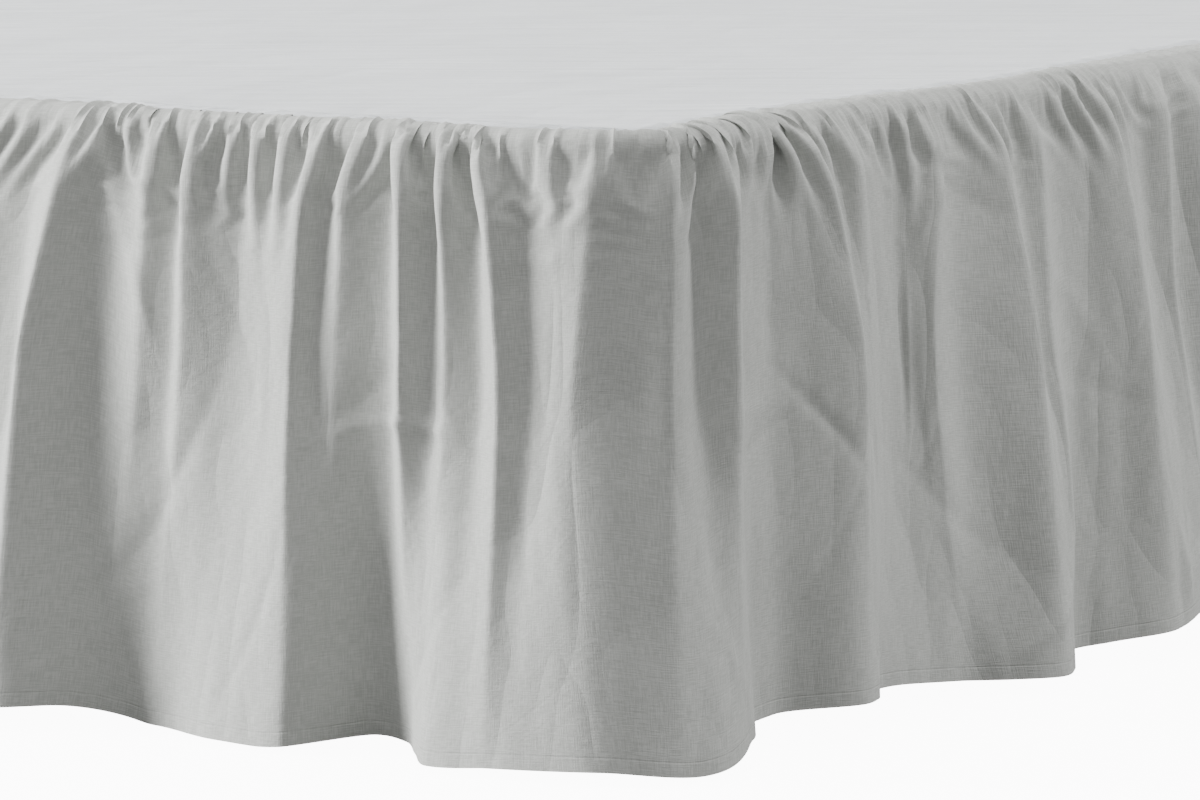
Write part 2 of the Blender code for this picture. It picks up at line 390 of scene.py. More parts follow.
def stands_out(places, share):
    """How far the cloth stands out at places along the path, a share of the way down."""
    high, mid = ALL_FOLDS[:, 3], ALL_FOLDS[:, 4]
    if share < HIGH:
        stands = SEAM_STANDS + (high - SEAM_STANDS) * np.sin(share / HIGH * np.pi / 2)
    else:
        stands = high + (mid - high) * min(1.0, (share - HIGH) / (MIDDLE - HIGH))
    where = fold_places(share)
    folds = pointed(places, where, stands, read_table(places, np.column_stack([where, stands])))
    to_hem = max(0.0, (share - MIDDLE) / (1.0 - MIDDLE))
    return folds + (read_table(places, HEM) - folds) * to_hem


def share_down(down):
    """The share of the folds' way down; they start a little past the seam."""
    return max(0.0, down - FOLDS_START) / (DROP - FOLDS_START)


def hang(places, down):
    """Points of the hanging cloth at places along the path, a distance down from the seam."""
    point, out = outline(places)
    inset = read_table(places, SEAM_LINE)
    run = np.maximum(inset - EDGE_RADIUS, 0.0005)
    angle = np.clip((down - run) / ROLL, 0.0, np.pi / 2)
    below = np.clip(down - run - ROLL * np.pi / 2, 0.0, None)
    share = share_down(down)
    stands = stands_out(places, share)
    lift = OFF_BASE * smooth_step(down / LIFTED_BY)
    reach = EDGE_RADIUS + lift + stands
    on_edge = -EDGE_RADIUS + reach * np.sin(angle)
    outward = np.where(angle > 0, on_edge, -inset + np.minimum(down, run))
    over_edge = BASE_TOP - EDGE_RADIUS + reach * np.cos(angle) - below
    on_top = SEAM_LEVEL + lift + stands * smooth_step(down / RAISED_BY)
    height = np.where(angle > 0, over_edge, on_top)
    return np.column_stack([point + out * outward[:, None], height])


print("the hem in the middle of the foot hangs at", hang(np.array([0.0]), DROP)[0].round(3))

# %% [markdown]
# ## The strip as a grid
# The ruffle is cut as flat strips, so at rest it is a rectangle. Columns are evenly spaced in the
# cloth, not along the seam: each row is cut into equal lengths between one fold and the next, so the
# same columns stand above each other.

# %% The strip's columns and rows
ROW_PITCH = 0.0065          # the grid the cloth is settled on
COLUMN_PITCH = 0.0041
HEM_EASE = 1.02             # cloth for each metre of the hem's own curve
SEAM_EASE = 1.10            # the least cloth for each metre of the seam
SMOOTHING = 0.25            # a pass moves a point half the way to its neighbours' middle
BEND_PASSES = 24
BENT_FROM = 3               # rows from the seam to this one stay as they are
spans = np.maximum(HEM_EASE * np.diff(fold_length), SEAM_EASE * np.diff(ALL_FOLDS[:, 0]))
fold_cloth = np.concatenate([[0.0], np.cumsum(spans)])
CLOTH_LENGTH = fold_cloth[-1]
columns_at = np.linspace(0.0, CLOTH_LENGTH, round(CLOTH_LENGTH / COLUMN_PITCH) + 1)
rows_down = np.linspace(0.0, DROP, round(DROP / ROW_PITCH) + 1)
print("cloth in the ruffle %.2f m, fullness %.2f" % (CLOTH_LENGTH, CLOTH_LENGTH / (2 * HALF_PATH)))


def strip_points():
    """The hanging grid, rows by columns."""
    grid = []
    for down in rows_down:
        points = hang(dense_places, down)
        length = running_length(points)
        at_folds = np.interp(fold_places(share_down(down)), dense_places, length)
        wanted = np.interp(columns_at, fold_cloth, at_folds)
        grid.append(np.column_stack([np.interp(wanted, length, points[:, axis]) for axis in range(3)]))
    return np.array(grid)


def soften(values, passes):
    """Evens out rows or points in place, all but the first and the last."""
    for repeat in range(passes):
        values[1:-1] += SMOOTHING * (values[:-2] - 2.0 * values[1:-1] + values[2:])


hanging = strip_points()
soften(hanging[BENT_FROM:], BEND_PASSES)    # the folds bend gently on their way down
print("grid of %d by %d" % hanging.shape[:2])

# %% [markdown]
# ## The gathers
# Between two stitches of the seam the cloth has more length than the seam, so it buckles into small
# puffs, which merge into the folds below. Blender's Cloth can't be told that a hanging mesh was cut as a
# flat rectangle, so the gathers are settled here in short steps. Every thread has a cut length. Near the
# seam that is the flat strip's own spacing; further down it passes into the arranged folds.

# %% Threads between neighbouring points
FREE_TO = 0.06              # shares of the drop: free above, and held in the arranged folds below
HELD_FROM = 0.42
HELD_CURVE = 0.7            # below 1, threads take their hanging length sooner
ROW_EASE = 1.01             # cloth for each metre down
SHEAR_GIVE = 2.0            # how softly slanting threads pull; 0 is stiff
BEND_GIVE = 3.0             # the same for the threads that keep the cloth from kinking
SEAM_BEND_GIVE = 40.0       # what is added to that at the seam
BEND_REACHES = (2, 5)       # how many columns those threads span
settled_rows = int(np.searchsorted(rows_down, HELD_FROM * DROP)) + 3
cloth = hanging[:settled_rows].copy()
row_share = rows_down[:settled_rows] / DROP
held = np.clip((row_share - FREE_TO) / (HELD_FROM - FREE_TO), 0.0, 1.0)
moves = np.ones(cloth.shape[:2])
moves[0] = 0.0              # the top row is sewn down


def pair_slices(size, step, start):
    """Slices of points and of their partners, step apart, so that no point is in two pairs."""
    last = start + (size - step - start - 1) // (2 * step) * 2 * step
    return slice(start, last + 1, 2 * step), slice(start + step, last + step + 1, 2 * step)


def thread(first, second, cut, give):
    """One set of pairs: their slices, lengths and give. Lengths pass from the cut to the hanging ones."""
    hung = np.linalg.norm(cloth[second] - cloth[first], axis=-1)
    passed = held[first[0]][:, None] ** HELD_CURVE
    if np.ndim(give):
        give = give[first[0]][:, None]
    free = moves[first] + moves[second]
    return first, second, cut + (hung - cut) * passed, free + give + 1e-6


rows, columns = cloth.shape[:2]
across = columns_at[1]
along = rows_down[1] * ROW_EASE
every_row, every_column = slice(0, rows), slice(0, columns)
bend_give = BEND_GIVE + SEAM_BEND_GIVE * (1.0 - held) ** 3
threads = []
for start in (0, 1):
    first, second = pair_slices(columns, 1, start)
    threads.append(thread((every_row, first), (every_row, second), across, 0.0))
    first, second = pair_slices(rows, 1, start)
    threads.append(thread((first, every_column), (second, every_column), along, 0.0))
    for near, far in ((slice(0, -1), slice(1, columns)), (slice(1, columns), slice(0, columns - 1))):
        threads.append(thread((first, near), (second, far), np.hypot(across, along), SHEAR_GIVE))
for reach in BEND_REACHES:
    for start in range(2 * reach):
        first, second = pair_slices(columns, reach, start)
        give = bend_give * reach / 2
        threads.append(thread((every_row, first), (every_row, second), reach * across, give))
print(len(threads), "sets of threads in", rows, "rows")

# %% [markdown]
# ## Starting the gathers
# Cloth that is pressed together needs a start, or it doesn't know which way to buckle. Small uneven
# waves, about 24 mm from one to the next, start it near the seam and fade downwards.

# %% Small waves near the seam
GATHER_PITCH = 0.024
GATHER_HEIGHT = 0.006
GATHER_RISE = 0.015         # distance from the seam in which the waves grow
GATHER_FADE = 0.05          # and in which they then die away
KNOT_SPACING = 0.06         # the waves' height and pitch change this often along the cloth
PITCH_SPREAD = 0.35


def facing_out(points):
    out = np.cross(np.gradient(points, axis=1), -np.gradient(points, axis=0))
    return out / np.linalg.norm(out, axis=-1, keepdims=True)


uneven_numbers = np.random.default_rng(5)
knots = np.arange(0.0, CLOTH_LENGTH + KNOT_SPACING, KNOT_SPACING)
pitch = 1.0 + PITCH_SPREAD * np.interp(columns_at, knots, uneven_numbers.uniform(-1.0, 1.0, len(knots)))
height = GATHER_HEIGHT * np.interp(columns_at, knots, uneven_numbers.uniform(0.5, 1.4, len(knots)))
wave = height * np.sin(np.cumsum(2 * np.pi / GATHER_PITCH * pitch * across))
down = rows_down[:settled_rows]
fade = np.clip(down / GATHER_RISE, 0.0, 1.0) * np.exp(-down / GATHER_FADE)
start_cloth = cloth.copy()
cloth += facing_out(cloth) * (fade[:, None] * wave)[..., None]
print("waves of up to %.1f mm" % (1000 * np.abs(wave).max()))

# %% [markdown]
# ## Settling
# Each step lets the cloth fall a little, then pulls every thread back to its length, twice over. What
# would enter the base is moved out to its surface. At the end the movement is evened out along the
# cloth, more so lower down, where it passes into the arranged folds.

# %% How threads pull and how the base pushes
CLEARANCE = 0.003           # between the base and the cloth's settled points
MOST_PUSH = 0.02            # the furthest that the base moves a point in a step
STEP_TIME = 1.0 / 240.0
FALL = 0.3 * 9.81 * STEP_TIME**2
TOP_SPEED = 0.004           # the furthest a point goes in a step
KEPT_SPEED = 0.985          # shares of its speed that a point keeps, in the air
RUBBED_SPEED = 0.7          # and on the base
HOLDING = 0.3               # how strongly the held rows go back to the arranged folds
THREAD_ROUNDS = 2
SOFTEN_PASSES = 26
SOFTEN_FROM = 0.10          # shares of the drop: where the evening out begins
SOFTEN_OVER = 0.30          # and in which it grows to all its passes
STEPS = 240


def pull(points, first, second, length, stiff):
    """Moves the points of each pair along the line between them, towards their length."""
    apart = points[second] - points[first]
    distance = np.sqrt(np.einsum("ijk,ijk->ij", apart, apart)) + 1e-9
    apart *= ((distance - length) / (distance * stiff))[..., None]
    points[first] += apart * moves[first][..., None]
    points[second] -= apart * moves[second][..., None]


def keep_outside(points):
    """Moves points out of the base, which has round corners in plan and a round top edge."""
    side = np.abs(points[..., 0]) - FOOT_HALF
    front = FOOT_Y + CORNER_RADIUS - points[..., 1]
    past_side, past_front = np.maximum(side, 0.0), np.maximum(front, 0.0)
    radius = np.hypot(past_side, past_front) + 1e-9
    in_corner = (side > 0) & (front > 0)
    out = np.where(in_corner, radius, np.maximum(side, front)) - CORNER_RADIUS
    out_x = np.where(in_corner, past_side / radius, side > front) * np.sign(points[..., 0])
    out_y = np.where(in_corner, past_front / radius, side <= front)
    beyond, above = out + EDGE_RADIUS, points[..., 2] - (BASE_TOP - EDGE_RADIUS)
    past_out, past_top = np.maximum(beyond, 0.0), np.maximum(above, 0.0)
    slant = np.hypot(past_out, past_top) + 1e-9
    on_edge = (beyond > 0) & (above > 0)
    gap = np.where(on_edge, slant, np.maximum(beyond, above)) - EDGE_RADIUS
    outward = np.where(on_edge, past_out / slant, beyond > above)
    upward = np.where(on_edge, past_top / slant, beyond <= above)
    push = np.clip(CLEARANCE - gap, 0.0, MOST_PUSH) * moves
    points[..., 0] += out_x * outward * push
    points[..., 1] -= out_y * outward * push
    points[..., 2] += upward * push
    return push > 0


print("steps to settle:", STEPS)

# %% Run the steps
speed = np.zeros_like(cloth)
holding = (HOLDING * held**2)[:, None, None]
for step in range(STEPS):
    before = cloth.copy()
    cloth += KEPT_SPEED * speed
    cloth[1:, :, 2] -= FALL
    for repeat in range(THREAD_ROUNDS):
        for first, second, length, stiff in threads:
            pull(cloth, first, second, length, stiff)
    cloth += (start_cloth - cloth) * holding
    touching = keep_outside(cloth)
    speed = cloth - before
    size = np.linalg.norm(speed, axis=-1, keepdims=True)
    speed *= np.minimum(1.0, TOP_SPEED / (size + 1e-9))
    speed[touching] *= RUBBED_SPEED
for row in range(settled_rows):
    change = cloth[row] - start_cloth[row]
    soften(change, int(SOFTEN_PASSES * smooth_step((row_share[row] - SOFTEN_FROM) / SOFTEN_OVER)))
    cloth[row] = start_cloth[row] + change
settled = hanging.copy()
settled[:settled_rows] = cloth
print("settled; points moved %.0f mm at most" % (1000 * np.abs(cloth - start_cloth).max()))

# %% [markdown]
# ## A finer grid
# The settled rows are 6.5 mm apart, which shows as small flats. Each width of cloth gets its own grid of
# about 4.4 mm, which starts and ends at its joins, read on a smooth curve through the settled points.

# %% A finer grid for each width
WIDTH_JOINS = (-2.30, -1.38, -0.46, 0.46, 1.38, 2.30)   # places where widths of cloth are sewn together
FINE = 0.0044


def between(points, axis, wanted):
    """Values at fractional row or column numbers, on a smooth curve through the four nearest."""
    points = np.moveaxis(points, axis, 0)
    last = len(points) - 1
    at = np.clip(wanted.astype(int), 0, last - 1)
    t = (wanted - at).reshape([-1] + [1] * (points.ndim - 1))
    p0, p1 = points[np.maximum(at - 1, 0)], points[at]
    p2, p3 = points[at + 1], points[np.minimum(at + 2, last)]
    bend = 2 * p0 - 5 * p1 + 4 * p2 - p3
    result = p1 + 0.5 * t * (p2 - p0 + t * (bend + t * (3 * (p1 - p2) + p3 - p0)))
    return np.moveaxis(result, 0, axis)


join_cloth = np.interp(WIDTH_JOINS, ALL_FOLDS[:, 0], fold_cloth)
edges = np.concatenate([[0.0], join_cloth, [CLOTH_LENGTH]])
fine_columns = [np.linspace(a, b, round((b - a) / FINE) + 1) for a, b in zip(edges[:-1], edges[1:])]
fine_rows = np.linspace(0.0, DROP, round(DROP / FINE) + 1)
tall = between(settled, 0, fine_rows / rows_down[1])
widths = [between(tall, 1, at / columns_at[1]) for at in fine_columns]
print("widths of cloth:", [round(float(at[-1] - at[0]), 3) for at in fine_columns])

# %% [markdown]
# ## Creases
# Where the cloth lay folded, and was pressed or moved by hand, it keeps soft creases. Each is a ridge or
# a dent of a millimetre or two, which slants, bows a little and fades out at both ends. They are moved
# points and not a bump in the finish, because the larger ones also show at the edge of a fold.

# %% Ridges and dents at random places
CREASES_PER_METRE = 42
CREASE_BOW = 0.8
CREASE_POWER = 1.4          # below 2, a crease has a sharper top than a round wave
crease_numbers = np.random.default_rng(11)
crease_count = int(CREASES_PER_METRE * CLOTH_LENGTH)
crease_table = np.column_stack([
    crease_numbers.uniform(0.0, CLOTH_LENGTH, crease_count),        # place along the cloth
    crease_numbers.uniform(0.05, DROP, crease_count),               # distance down
    crease_numbers.normal(0.0, 0.75, crease_count),                 # lean from upright
    crease_numbers.uniform(0.03, 0.13, crease_count),               # half its length
    crease_numbers.uniform(0.005, 0.016, crease_count),             # half its width
    crease_numbers.normal(0.0, 0.0018, crease_count),               # height, or depth below 0
])


def creases(along_cloth, down):
    """Heights of soft creases: short slanting ridges and dents that come and go, in metres."""
    height = np.zeros((len(down), len(along_cloth)))
    for place, level, lean, length, width, size in crease_table:
        first, last = np.searchsorted(along_cloth, (place - 2 * length, place + 2 * length))
        u, v = np.meshgrid(along_cloth[first:last] - place, down - level)
        lengthwise = u * np.sin(lean) + v * np.cos(lean)
        crosswise = u * np.cos(lean) - v * np.sin(lean) + CREASE_BOW * lengthwise**2
        reach = np.exp(-((lengthwise / length) ** 2))
        height[:, first:last] += size * reach * np.exp(-((np.abs(crosswise) / width) ** CREASE_POWER))
    return height * smooth_step(down / 0.06)[:, None] * smooth_step((DROP - down) / 0.05 + 0.3)[:, None]


for number, points in enumerate(widths):
    points += facing_out(points) * creases(fine_columns[number], fine_rows)[..., None]
print(crease_count, "creases, the largest %.1f mm" % (1000 * np.abs(crease_table[:, 5]).max()))

# %% [markdown]
# ## Making a sheet
# A sheet is a flat grid whose points are moved to their places; Solidify then gives it the cloth's
# thickness, inwards from the side that shows. The grid's own map is scaled to metres of cloth, so that
# weave and stitches keep their size on every piece.

# %% Sheets from grids
CLOTH_THICKNESS = 0.0007


def make_sheet(name, points, flat_columns, flat_rows, thickness=CLOTH_THICKNESS):
    """A sheet of cloth; points go up from the bottom row, flat_ are distances on the flat cloth."""
    rows, columns = points.shape[:2]
    bpy.ops.object.select_all(action="DESELECT")
    bpy.ops.mesh.primitive_grid_add(x_subdivisions=columns - 1, y_subdivisions=rows - 1, size=1.0)
    sheet = bpy.context.object
    sheet.name = name
    mesh = sheet.data
    mesh.name = name
    flat = np.zeros(len(mesh.vertices) * 3)
    mesh.vertices.foreach_get("co", flat)
    flat = flat.reshape(-1, 3)
    column = np.rint((flat[:, 0] + 0.5) * (columns - 1)).astype(int)
    row = np.rint((flat[:, 1] + 0.5) * (rows - 1)).astype(int)
    mesh.vertices.foreach_set("co", points[row, column].ravel())
    corner = np.zeros(len(mesh.loops), dtype=np.int32)
    mesh.loops.foreach_get("vertex_index", corner)
    cloth_map = np.column_stack([flat_columns[column[corner]], flat_rows[row[corner]]])
    mesh.uv_layers[0].name = "cloth"
    mesh.uv_layers[0].data.foreach_set("uv", cloth_map.ravel())
    mesh.update()
    solid = sheet.modifiers.new("thickness", "SOLIDIFY")
    solid.thickness = thickness
    solid.offset = -1.0
    apply_modifiers(sheet)
    bpy.ops.object.shade_smooth_by_angle(angle=np.radians(70.0))
    print(name, len(mesh.polygons), "faces")
    return sheet


def store_from_join(piece, first, last):
    """Keeps each point's distance along the cloth from the nearer end of its width."""
    mesh = piece.data
    spot = np.zeros(len(mesh.loops) * 2)
    mesh.uv_layers["cloth"].data.foreach_get("uv", spot)
    spot = spot.reshape(-1, 2)[:, 0]
    corner = np.zeros(len(mesh.loops), dtype=np.int32)
    mesh.loops.foreach_get("vertex_index", corner)
    from_join = np.zeros(len(mesh.vertices))
    from_join[corner] = np.minimum(spot - first, last - spot)
    mesh.attributes.new("from_join", "FLOAT", "POINT").data.foreach_set("value", from_join)


# %% The seven widths of the ruffle
NAMES = (
    "skirt_left_head", "skirt_left_side", "skirt_left_corner", "skirt_foot",
    "skirt_right_corner", "skirt_right_side", "skirt_right_head",
)
skirt = []
for name, points, at in zip(NAMES, widths, fine_columns):
    piece = make_sheet(name, points[::-1], at, DROP - fine_rows[::-1])
    store_from_join(piece, at[0], at[-1])
    skirt.append(piece)

# %% [markdown]
# ## The top panel
# The panel lies flat under the mattress, but thin cotton is never quite flat: long fine wrinkles cross
# it from handling, and the gathered seam pulls short ones in from its edge. Its outline is the seam
# line, so it is a patch stretched between four curves: foot, head and two sides.

# %% The panel's outline and grid
PANEL_CELL = 0.0085
PANEL_THICKNESS = 0.0006
PATCH_END = FOOT_HALF       # the patch's foot corners lie where the base's corners start to turn
SEAM_OVER = 0.0012          # how far the panel's edge lies over the ruffle's
SIDE_INSET = 0.035          # the flat panel stops this far inside the base's sides,
FOOT_INSET = 0.020          # and this far inside its foot


def seam_point(places):
    point, out = outline(places)
    inset = read_table(places, SEAM_LINE)
    return point - out * (inset - SEAM_OVER)[:, None]


panel_columns = round(2 * HALF_WIDTH / PANEL_CELL)
panel_rows = round((HEAD_Y - FOOT_Y) / PANEL_CELL)
u = np.linspace(0.0, 1.0, panel_columns + 1)
v = np.linspace(0.0, 1.0, panel_rows + 1)
foot = seam_point(-PATCH_END + 2 * PATCH_END * u)
left = seam_point(-PATCH_END - (HALF_PATH - PATCH_END) * v)
right = seam_point(PATCH_END + (HALF_PATH - PATCH_END) * v)
head = left[-1] + (right[-1] - left[-1]) * u[:, None]
across_patch = left[:, None] * (1 - u)[None, :, None] + right[:, None] * u[None, :, None]
along_patch = foot[None] * (1 - v)[:, None, None] + head[None] * v[:, None, None]
corners = (
    foot[0] * np.outer(1 - v, 1 - u)[..., None] + foot[-1] * np.outer(1 - v, u)[..., None]
    + head[0] * np.outer(v, 1 - u)[..., None] + head[-1] * np.outer(v, u)[..., None]
)
panel_xy = across_patch + along_patch - corners
print("panel grid of %d by %d" % panel_xy.shape[:2])

# %% The panel's wrinkles
WRINKLE_TURN = np.radians(31.0)     # the way the wrinkles run, from across the bed
WRINKLES = (
    # pitch, height, wander, drift
    (0.083, 0.0021, 0.05, 0.4),
    (0.047, 0.0013, 0.03, 2.2),
    (0.031, 0.0008, 0.02, 4.1),
)
OVER_BASE = 0.0008          # the panel's least height over its seam
PULL_PITCH = 0.029          # short wrinkles that the gathered seam pulls in
PULL_HEIGHT = 0.0009
SEAM_RIDGE = 0.0016         # the seam allowance underneath raises the panel's edge
side_gap = np.minimum(u, 1.0 - u) * np.linalg.norm(right - left, axis=1)[:, None]
front_gap = panel_xy[..., 1] - foot[None, :, 1]
inwards = np.minimum(side_gap, front_gap)


def wrinkles(points):
    """Heights of the panel's wrinkles above the base, in metres."""
    x, y = points[..., 0], points[..., 1]
    long_way = x * np.cos(WRINKLE_TURN) + y * np.sin(WRINKLE_TURN)
    cross_way = y * np.cos(WRINKLE_TURN) - x * np.sin(WRINKLE_TURN)
    height = np.full_like(x, OVER_BASE)
    for pitch, size, wander, drift in WRINKLES:
        bent = cross_way + wander * np.sin(3.1 * long_way + drift)
        comes = 0.5 + 0.5 * np.sin(5.3 * long_way + 9.7 * cross_way + 2 * drift)
        height += size * comes * (1.0 - np.abs(np.sin(np.pi * bent / pitch + drift))) ** 2
    place = np.where(side_gap < front_gap, y, x)
    pulled = np.sin(2 * np.pi * place / PULL_PITCH + 1.5 * np.sin(23.0 * place)) * np.exp(-inwards / 0.03)
    edge = SEAM_RIDGE * np.exp(-(((inwards - 0.005) / 0.004) ** 2))
    return height + PULL_HEIGHT * (1.0 + pulled) * np.exp(-inwards / 0.05) + edge


seam_height = SEAM_LEVEL + PANEL_THICKNESS
panel_height = seam_height + wrinkles(panel_xy) * smooth_step(inwards / 0.006)
panel_points = np.dstack([panel_xy, panel_height])
panel_width = 2 * (HALF_WIDTH - SIDE_INSET)
panel_length = HEAD_Y - FOOT_Y - FOOT_INSET
panel = make_sheet("skirt_panel", panel_points, u * panel_width, v * panel_length, PANEL_THICKNESS)

# %% [markdown]
# ## The skirt's cotton
# A plain weave in soft grey cotton. Slubs, the thicker stretches of a spun yarn, run both ways and are
# what the eye sees of the weave from a distance. The dye takes a little unevenly, and bent lines are
# left where the cloth lay folded. Long wrinkles are a bump, and they are also painted into the colour as
# light and dark streaks, a painted shade. All of it is drawn on each piece's map, in metres of flat
# cloth, so that it follows the folds.

# %% Helpers for patterns on cloth


def math_node(tree, operation, first, second=0.0, clamp=False):
    node = tree.nodes.new("ShaderNodeMath")
    node.operation = operation
    node.use_clamp = clamp
    for socket, value in zip(node.inputs, (first, second)):
        if isinstance(value, bpy.types.NodeSocket):
            tree.links.new(value, socket)
        else:
            socket.default_value = value
    return node.outputs[0]


def yarn_noise(tree, cloth_map, stretch, detail=2.0):
    """Noise drawn out along one yarn direction; stretch is marks per metre in u and v."""
    mapping = add_node(tree, "ShaderNodeMapping", Scale=(stretch[0], stretch[1], 1.0))
    tree.links.new(cloth_map, mapping.inputs["Vector"])
    noise = add_node(tree, "ShaderNodeTexNoise", Scale=1.0, Detail=detail, Roughness=0.6)
    tree.links.new(mapping.outputs[0], noise.inputs["Vector"])
    return noise.outputs[0]


def crumple(tree, cloth_map, marks, turn):
    """Sharp-edged soft flats, as in cloth that lay folded: bent lines where noise crosses its middle."""
    lie = add_node(tree, "ShaderNodeMapping", Scale=(marks[0], marks[1], 1.0))
    lie.inputs["Rotation"].default_value[2] = turn
    tree.links.new(cloth_map, lie.inputs["Vector"])
    noise = add_node(tree, "ShaderNodeTexNoise", Scale=1.0, Detail=0.6, Roughness=0.5)
    tree.links.new(lie.outputs[0], noise.inputs["Vector"])
    return math_node(tree, "ABSOLUTE", math_node(tree, "SUBTRACT", noise.outputs[0], 0.5))


def tint(tree, shader, amount, dark, light, low=0.0, high=1.0):
    """Colours a surface from dark to light as the amount goes from low to high."""
    ramp = add_node(tree, "ShaderNodeValToRGB")
    for stop, place, colour in zip(ramp.color_ramp.elements, (low, high), (dark, light)):
        stop.position = place
        stop.color = (*colour, 1.0)
    tree.links.new(amount, ramp.inputs[0])
    tree.links.new(ramp.outputs[0], shader.inputs["Base Color"])


def emboss(tree, height, strength, distance, under=None):
    """A bump, as the normal it gives; under is the normal of a larger bump that it lies on."""
    bump = add_node(tree, "ShaderNodeBump", Strength=strength, Distance=distance)
    tree.links.new(height, bump.inputs["Height"])
    if under is not None:
        tree.links.new(under, bump.inputs["Normal"])
    return bump.outputs[0]


# %% A woven cotton
YARN_ALONG = 65.0           # slubs in a metre, along a yarn
YARN_ACROSS = 950.0         # and across it
DYE_CLOUDS = (7.0, 5.0)     # marks in a metre, along the cloth and up it
LARGE_CRUMPLE = (9.0, 4.0)
SMALL_CRUMPLE = (20.0, 9.0)
SMALL_SHARE = 0.25
CRUMPLE_DEPTH = 0.026       # how deep each relief is taken to be, in metres
WRINKLE_DEPTH = 0.0016
YARN_DEPTH = 0.0006


def cotton(name, light, dark, slub, bump, wrinkle_and_painted_shade_strength, crumpled):
    """Plain woven cotton between two colours; the last four say how strongly each mark shows. The
    wrinkles show as a bump and also as painted shade: light and dark streaks in the colour.
    """
    material, tree, shader = new_material(name)
    cloth_map = add_node(tree, "ShaderNodeUVMap", uv_map="cloth").outputs[0]
    weft = yarn_noise(tree, cloth_map, (YARN_ALONG, YARN_ACROSS))
    warp = yarn_noise(tree, cloth_map, (YARN_ACROSS, YARN_ALONG))
    cloud = yarn_noise(tree, cloth_map, DYE_CLOUDS, 4.0)
    yarns = math_node(tree, "ADD", weft, warp)
    yarns = math_node(tree, "MULTIPLY", math_node(tree, "SUBTRACT", yarns, 1.0), slub)
    # The wrinkle noise below is a bump and also painted shade: its light and dark streaks are added to
    # the colour.
    lie = add_node(tree, "ShaderNodeMapping", vector_type="TEXTURE", Scale=(0.30, 0.012, 1.0))
    lie.inputs["Rotation"].default_value[2] = WRINKLE_TURN
    tree.links.new(cloth_map, lie.inputs["Vector"])
    noise = add_node(tree, "ShaderNodeTexNoise", Scale=1.0, Detail=4.0, Roughness=0.6, Distortion=0.3)
    tree.links.new(lie.outputs[0], noise.inputs["Vector"])
    wrinkle_bump_and_painted_shade = math_node(tree, "MULTIPLY", math_node(tree, "SUBTRACT", noise.outputs[0], 0.5), wrinkle_and_painted_shade_strength)
    dye_and_painted_shade = math_node(tree, "MULTIPLY", math_node(tree, "SUBTRACT", cloud, 0.5), 0.9)
    dye_and_painted_shade = math_node(tree, "ADD", dye_and_painted_shade, wrinkle_bump_and_painted_shade)
    blend = math_node(tree, "ADD", math_node(tree, "ADD", yarns, dye_and_painted_shade), 0.5, clamp=True)
    tint(tree, shader, blend, dark, light)
    rough = math_node(tree, "ADD", math_node(tree, "MULTIPLY", yarns, -0.08), 0.9)
    tree.links.new(rough, shader.inputs["Roughness"])
    shader.inputs["Specular IOR Level"].default_value = 0.25
    shader.inputs["Sheen Weight"].default_value = 0.12
    shader.inputs["Sheen Roughness"].default_value = 0.5
    large = crumple(tree, cloth_map, LARGE_CRUMPLE, 0.5)
    small = math_node(tree, "MULTIPLY", crumple(tree, cloth_map, SMALL_CRUMPLE, -0.6), SMALL_SHARE)
    packed = emboss(tree, math_node(tree, "ADD", large, small), crumpled, CRUMPLE_DEPTH)
    soft = emboss(tree, wrinkle_bump_and_painted_shade, 0.8, WRINKLE_DEPTH, packed)
    relief = emboss(tree, yarns, bump, YARN_DEPTH, soft)
    tree.links.new(relief, shader.inputs["Normal"])
    return material, tree, relief, cloth_map


# %% [markdown]
# The ruffle's hem is turned up and stitched 12 mm above its edge. The turned cloth is raised a little,
# and the stitches pull it in, which is too fine for the mesh, so both are one more bump.

# %% The ruffle's cotton, with its hem and joins
HEM_TURN = 0.012
LIGHT_GREY = (0.480, 0.490, 0.468)
DARK_GREY = (0.385, 0.394, 0.374)
skirt_cotton, tree, relief, cloth_map = cotton("skirt cotton", LIGHT_GREY, DARK_GREY, 3.0, 0.25, 0.4, 0.8)
separate = add_node(tree, "ShaderNodeSeparateXYZ")
tree.links.new(cloth_map, separate.inputs[0])
up = separate.outputs["Y"]
from_join = add_node(tree, "ShaderNodeAttribute", attribute_name="from_join").outputs["Fac"]


def groove(tree, distance, middle, half_width):
    """1 along a line at a distance, 0 away from it."""
    apart = math_node(tree, "ABSOLUTE", math_node(tree, "SUBTRACT", distance, middle))
    return math_node(tree, "SUBTRACT", 1.0, math_node(tree, "DIVIDE", apart, half_width), clamp=True)


hem_stitch = groove(tree, up, HEM_TURN, 0.0012)
join_stitch = groove(tree, from_join, 0.0, 0.0008)
stitches = math_node(tree, "ADD", hem_stitch, math_node(tree, "MULTIPLY", join_stitch, 0.25))
turned = math_node(tree, "LESS_THAN", up, HEM_TURN)
raised = math_node(tree, "SUBTRACT", math_node(tree, "MULTIPLY", turned, 0.7), stitches)
sewing = emboss(tree, raised, 0.4, 0.0009, relief)
tree.links.new(sewing, tree.nodes["Principled BSDF"].inputs["Normal"])
print("the ruffle's cotton has", len(tree.nodes), "nodes")

# %% The panel's cotton, lighter and smoother
PANEL_LIGHT = (0.74, 0.765, 0.78)
PANEL_DARK = (0.62, 0.645, 0.66)
# Its wrinkle streaks are strong: painted shade along the panel's wrinkles, as well as their bump.
panel_cotton, tree, _, _ = cotton("panel cotton", PANEL_LIGHT, PANEL_DARK, 1.0, 0.4, 2.6, 0.25)
print("the panel's cotton has", len(tree.nodes), "nodes")

# %% [markdown]
# ## The base's finishes
# The base is hardly seen: its head end, its underside and its legs show only from behind or below. It
# has a plain woven cover, and turned legs of pale wood.

